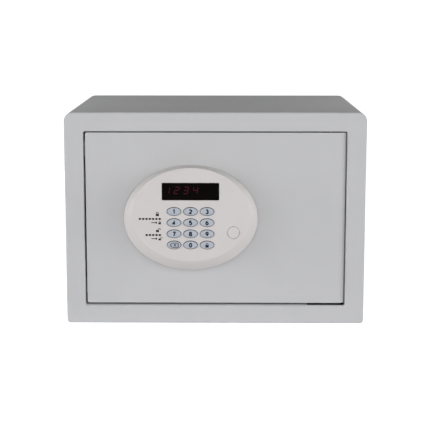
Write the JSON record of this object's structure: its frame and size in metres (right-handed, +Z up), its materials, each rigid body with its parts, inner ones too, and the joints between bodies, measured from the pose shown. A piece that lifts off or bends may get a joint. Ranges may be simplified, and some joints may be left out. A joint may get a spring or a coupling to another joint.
{
  "type": "in-room safe",
  "caption": "Compact steel in-room safe with a flush front door, oval keypad housing with display, hidden hinges and motor-driven bolts.",
  "frame": {"origin": "middle of the underside of the body, which stands on the shelf at z = 0", "axes": "+X to the right seen from the front, +Y towards the back, +Z up; the door faces -Y and is shut"},
  "size_m": [0.35, 0.2702, 0.25],
  "materials": {
    "body_paint": "light grey powder coat, fine texture",
    "zinc_steel": "zinc plated, satin",
    "chrome_steel": "bright plated",
    "housing_plastic": "warm light grey, satin",
    "key_plastic": "blue-grey, satin",
    "display_lens": "dark smoked, glossy",
    "black_plastic": "matt",
    "bumper_rubber": "matt",
    "mat_felt": "needle felt",
    "circuit_board": "green solder mask",
    "brass": "machined",
    "red_plastic": "semi-gloss",
    "cell_jacket": "plain dark jacket, glossy"
  },
  "bodies": {
    "body": {"body_shell": "body_paint", "back_panel": "body_paint", "floor_mat": "mat_felt", "base_hole_plug_left": "black_plastic", "base_hole_plug_right": "black_plastic", "back_hole_plug_left": "black_plastic", "back_hole_plug_right": "black_plastic", "strike_plate": "zinc_steel", "stop_pad_lower": "bumper_rubber", "stop_pad_upper": "bumper_rubber", "lower_hinge_bracket": "zinc_steel", "upper_hinge_bracket": "zinc_steel", "lower_hinge_pin": "zinc_steel", "upper_hinge_pin": "zinc_steel"},
    "door": {"door_plate": "body_paint", "lower_hinge_block": "zinc_steel", "upper_hinge_block": "zinc_steel", "inner_cover": "body_paint", "cover_screw_1": "zinc_steel", "cover_screw_2": "zinc_steel", "cover_screw_3": "zinc_steel", "cover_screw_4": "zinc_steel", "housing_screw_1": "zinc_steel", "housing_screw_2": "zinc_steel", "mechanism_plate": "zinc_steel", "gearbox": "black_plastic", "motor": "zinc_steel", "control_board": "circuit_board", "battery_holder": "black_plastic", "battery_1": "cell_jacket", "battery_2": "cell_jacket", "battery_3": "cell_jacket", "battery_4": "cell_jacket", "keypad_lead": "black_plastic", "keypad_housing": "housing_plastic", "display_window": "display_lens", "led_display": "black_plastic", "keypad_board": "circuit_board", "lock_barrel": "chrome_steel"},
    "bolt_work": {"bolt_carriage": "zinc_steel", "lower_bolt": "chrome_steel", "upper_bolt": "chrome_steel"},
    "drive": {"drive_gear": "brass"},
    "override_cap": {"override_cap": "housing_plastic"},
    "lock_core": {"lock_plug": "brass", "lock_cam": "zinc_steel"},
    "battery_cover": {"battery_cover": "black_plastic"},
    "reset_button": {"reset_button": "red_plastic"},
    "key_1": {"key_1": "key_plastic"},
    "key_2": {"key_2": "key_plastic"},
    "key_3": {"key_3": "key_plastic"},
    "key_4": {"key_4": "key_plastic"},
    "key_5": {"key_5": "key_plastic"},
    "key_6": {"key_6": "key_plastic"},
    "key_7": {"key_7": "key_plastic"},
    "key_8": {"key_8": "key_plastic"},
    "key_9": {"key_9": "key_plastic"},
    "key_clear": {"key_clear": "key_plastic"},
    "key_0": {"key_0": "key_plastic"},
    "key_lock": {"key_lock": "key_plastic"}
  },
  "joints": [
    {"name": "door_hinge", "type": "hinge", "parent": "body", "child": "door", "pos_m": [0.1275, -0.116, 0.0241], "axis": [0, 0, 1], "range_deg": [0, 100]},
    {"name": "bolt_slide", "type": "slide", "parent": "door", "child": "bolt_work", "axis": [-1, 0, 0], "range_m": [0, 0.016]},
    {"name": "drive_gear_turn", "type": "hinge", "parent": "door", "child": "drive", "pos_m": [-0.06, -0.097, 0.115], "axis": [0, -1, 0], "range_deg": [0, 102]},
    {"name": "override_cap_pull", "type": "slide", "parent": "door", "child": "override_cap", "axis": [0, -1, 0], "range_m": [0, 0.022]},
    {"name": "lock_core_turn", "type": "hinge", "parent": "door", "child": "lock_core", "pos_m": [0.0213, -0.097, 0.113], "axis": [0, 1, 0], "range_deg": [-90, 0]},
    {"name": "battery_cover_lift", "type": "slide", "parent": "door", "child": "battery_cover", "axis": [0, 1, 0], "range_m": [0, 0.02]},
    {"name": "reset_button_press", "type": "slide", "parent": "door", "child": "reset_button", "axis": [0, -1, 0], "range_m": [0, 0.001], "stiffness_N_per_m": 300},
    {"name": "key_1_press", "type": "slide", "parent": "door", "child": "key_1", "axis": [0, 1, 0], "range_m": [0, 0.0012], "stiffness_N_per_m": 400},
    {"name": "key_2_press", "type": "slide", "parent": "door", "child": "key_2", "axis": [0, 1, 0], "range_m": [0, 0.0012], "stiffness_N_per_m": 400},
    {"name": "key_3_press", "type": "slide", "parent": "door", "child": "key_3", "axis": [0, 1, 0], "range_m": [0, 0.0012], "stiffness_N_per_m": 400},
    {"name": "key_4_press", "type": "slide", "parent": "door", "child": "key_4", "axis": [0, 1, 0], "range_m": [0, 0.0012], "stiffness_N_per_m": 400},
    {"name": "key_5_press", "type": "slide", "parent": "door", "child": "key_5", "axis": [0, 1, 0], "range_m": [0, 0.0012], "stiffness_N_per_m": 400},
    {"name": "key_6_press", "type": "slide", "parent": "door", "child": "key_6", "axis": [0, 1, 0], "range_m": [0, 0.0012], "stiffness_N_per_m": 400},
    {"name": "key_7_press", "type": "slide", "parent": "door", "child": "key_7", "axis": [0, 1, 0], "range_m": [0, 0.0012], "stiffness_N_per_m": 400},
    {"name": "key_8_press", "type": "slide", "parent": "door", "child": "key_8", "axis": [0, 1, 0], "range_m": [0, 0.0012], "stiffness_N_per_m": 400},
    {"name": "key_9_press", "type": "slide", "parent": "door", "child": "key_9", "axis": [0, 1, 0], "range_m": [0, 0.0012], "stiffness_N_per_m": 400},
    {"name": "key_clear_press", "type": "slide", "parent": "door", "child": "key_clear", "axis": [0, 1, 0], "range_m": [0, 0.0012], "stiffness_N_per_m": 400},
    {"name": "key_0_press", "type": "slide", "parent": "door", "child": "key_0", "axis": [0, 1, 0], "range_m": [0, 0.0012], "stiffness_N_per_m": 400},
    {"name": "key_lock_press", "type": "slide", "parent": "door", "child": "key_lock", "axis": [0, 1, 0], "range_m": [0, 0.0012], "stiffness_N_per_m": 400}
  ],
  "couplings": [
    {"joint": "drive_gear_turn", "follows": "bolt_slide", "rad_per_m": 111.11}
  ]
}
